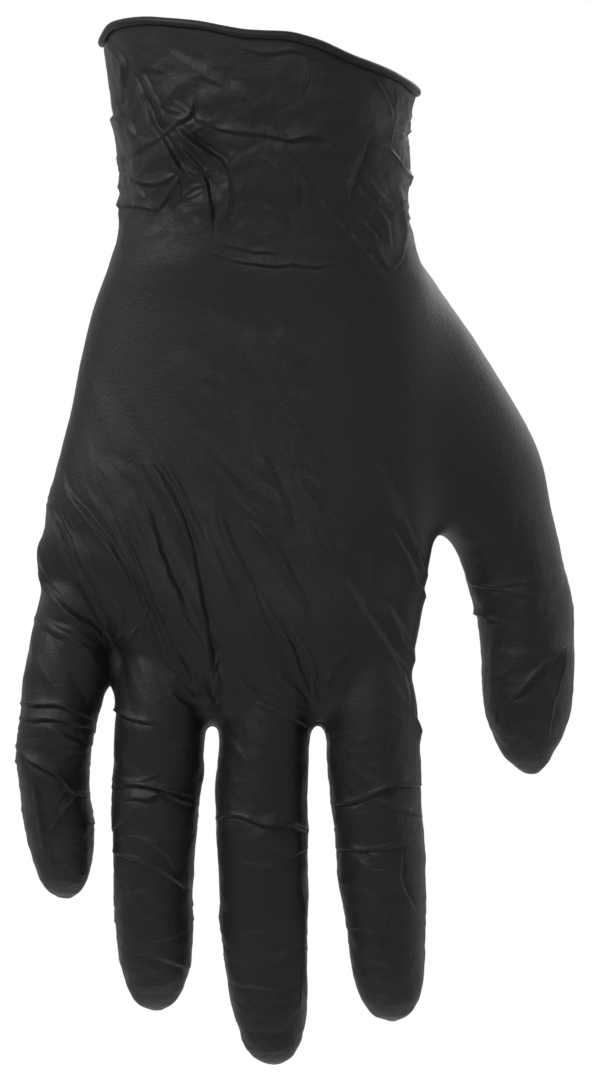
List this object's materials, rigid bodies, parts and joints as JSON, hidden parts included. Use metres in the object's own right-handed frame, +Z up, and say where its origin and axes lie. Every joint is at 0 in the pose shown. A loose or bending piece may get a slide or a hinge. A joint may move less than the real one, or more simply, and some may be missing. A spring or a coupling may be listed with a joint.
{
  "type": "disposable glove",
  "caption": "Disposable nitrile glove for the right hand, worn open with fingers hanging down; its wrist, knuckles, fingers and thumb flex, and its cuff has a rolled edge.",
  "frame": {"origin": "centre of the cuff's opening", "axes": "+Z up, out of the cuff, +X to the thumb's side, +Y to the palm's side, so the back of the hand faces -Y and the fingers hang down -Z"},
  "size_m": [0.1307, 0.0554, 0.2479],
  "materials": {
    "nitrile": "satin, finely grained film"
  },
  "bodies": {
    "cuff": {"cuff": "nitrile", "cuff_bead": "nitrile"},
    "palm": {"palm": "nitrile"},
    "knuckle_band": {"knuckle_band": "nitrile"},
    "index_proximal": {"index_proximal": "nitrile"},
    "index_middle": {"index_middle": "nitrile"},
    "index_tip": {"index_tip": "nitrile"},
    "middle_proximal": {"middle_proximal": "nitrile"},
    "middle_middle": {"middle_middle": "nitrile"},
    "middle_tip": {"middle_tip": "nitrile"},
    "ring_proximal": {"ring_proximal": "nitrile"},
    "ring_middle": {"ring_middle": "nitrile"},
    "ring_tip": {"ring_tip": "nitrile"},
    "little_proximal": {"little_proximal": "nitrile"},
    "little_middle": {"little_middle": "nitrile"},
    "little_tip": {"little_tip": "nitrile"},
    "thumb_proximal": {"thumb_proximal": "nitrile"},
    "thumb_tip": {"thumb_tip": "nitrile"}
  },
  "joints": [
    {"name": "wrist", "type": "hinge", "parent": "cuff", "child": "palm", "pos_m": [0, 0, -0.043], "axis": [1, 0, 0], "range_deg": [-20, 20], "stiffness_Nm_per_rad": 0.03},
    {"name": "knuckle_fold", "type": "hinge", "parent": "palm", "child": "knuckle_band", "pos_m": [-0.005, 0.0035, -0.1315], "axis": [0.9885, 0, -0.1513], "range_deg": [-5, 50], "stiffness_Nm_per_rad": 0.01},
    {"name": "index_root", "type": "hinge", "parent": "knuckle_band", "child": "index_proximal", "pos_m": [0.0251, 0.00473, -0.166], "axis": [1, 0, 0], "range_deg": [-10, 40], "stiffness_Nm_per_rad": 0.003},
    {"name": "index_mid", "type": "hinge", "parent": "index_proximal", "child": "index_middle", "pos_m": [0.026, 0.00763, -0.18], "axis": [1, 0, 0], "range_deg": [0, 85], "stiffness_Nm_per_rad": 0.002},
    {"name": "index_end", "type": "hinge", "parent": "index_middle", "child": "index_tip", "pos_m": [0.0283, 0.0133, -0.2035], "axis": [1, 0, 0], "range_deg": [0, 51], "stiffness_Nm_per_rad": 0.001},
    {"name": "middle_root", "type": "hinge", "parent": "knuckle_band", "child": "middle_proximal", "pos_m": [-0.0007, 0.00447, -0.1645], "axis": [1, 0, 0], "range_deg": [-10, 40], "stiffness_Nm_per_rad": 0.003},
    {"name": "middle_mid", "type": "hinge", "parent": "middle_proximal", "child": "middle_middle", "pos_m": [-0.0008, 0.0077, -0.1835], "axis": [1, 0, 0], "range_deg": [0, 85], "stiffness_Nm_per_rad": 0.002},
    {"name": "middle_end", "type": "hinge", "parent": "middle_middle", "child": "middle_tip", "pos_m": [-0.0001, 0.0139, -0.2095], "axis": [1, 0, 0], "range_deg": [0, 51], "stiffness_Nm_per_rad": 0.001},
    {"name": "ring_root", "type": "hinge", "parent": "knuckle_band", "child": "ring_proximal", "pos_m": [-0.0248, 0.00517, -0.1635], "axis": [1, 0, 0], "range_deg": [-10, 40], "stiffness_Nm_per_rad": 0.003},
    {"name": "ring_mid", "type": "hinge", "parent": "ring_proximal", "child": "ring_middle", "pos_m": [-0.026, 0.00807, -0.1785], "axis": [1, 0, 0], "range_deg": [0, 85], "stiffness_Nm_per_rad": 0.002},
    {"name": "ring_end", "type": "hinge", "parent": "ring_middle", "child": "ring_tip", "pos_m": [-0.0264, 0.01427, -0.2025], "axis": [1, 0, 0], "range_deg": [0, 51], "stiffness_Nm_per_rad": 0.001},
    {"name": "little_root", "type": "hinge", "parent": "knuckle_band", "child": "little_proximal", "pos_m": [-0.0468, 0.00543, -0.1495], "axis": [1, 0, 0], "range_deg": [-10, 40], "stiffness_Nm_per_rad": 0.003},
    {"name": "little_mid", "type": "hinge", "parent": "little_proximal", "child": "little_middle", "pos_m": [-0.0498, 0.00773, -0.163], "axis": [1, 0, 0], "range_deg": [0, 85], "stiffness_Nm_per_rad": 0.002},
    {"name": "little_end", "type": "hinge", "parent": "little_middle", "child": "little_tip", "pos_m": [-0.049, 0.01197, -0.1805], "axis": [1, 0, 0], "range_deg": [0, 51], "stiffness_Nm_per_rad": 0.001},
    {"name": "thumb_root", "type": "hinge", "parent": "palm", "child": "thumb_proximal", "pos_m": [0.05477, 0.0194, -0.1175], "axis": [-0.6321, -0.7183, -0.2909], "range_deg": [-30, 10], "stiffness_Nm_per_rad": 0.003},
    {"name": "thumb_end", "type": "hinge", "parent": "thumb_proximal", "child": "thumb_tip", "pos_m": [0.05902, 0.02177, -0.139], "axis": [-0.6517, -0.7406, -0.1639], "range_deg": [-60, 5], "stiffness_Nm_per_rad": 0.002}
  ],
  "couplings": [
    {"joint": "index_end", "follows": "index_mid", "ratio": 0.6},
    {"joint": "middle_end", "follows": "middle_mid", "ratio": 0.6},
    {"joint": "ring_end", "follows": "ring_mid", "ratio": 0.6},
    {"joint": "little_end", "follows": "little_mid", "ratio": 0.6}
  ]
}
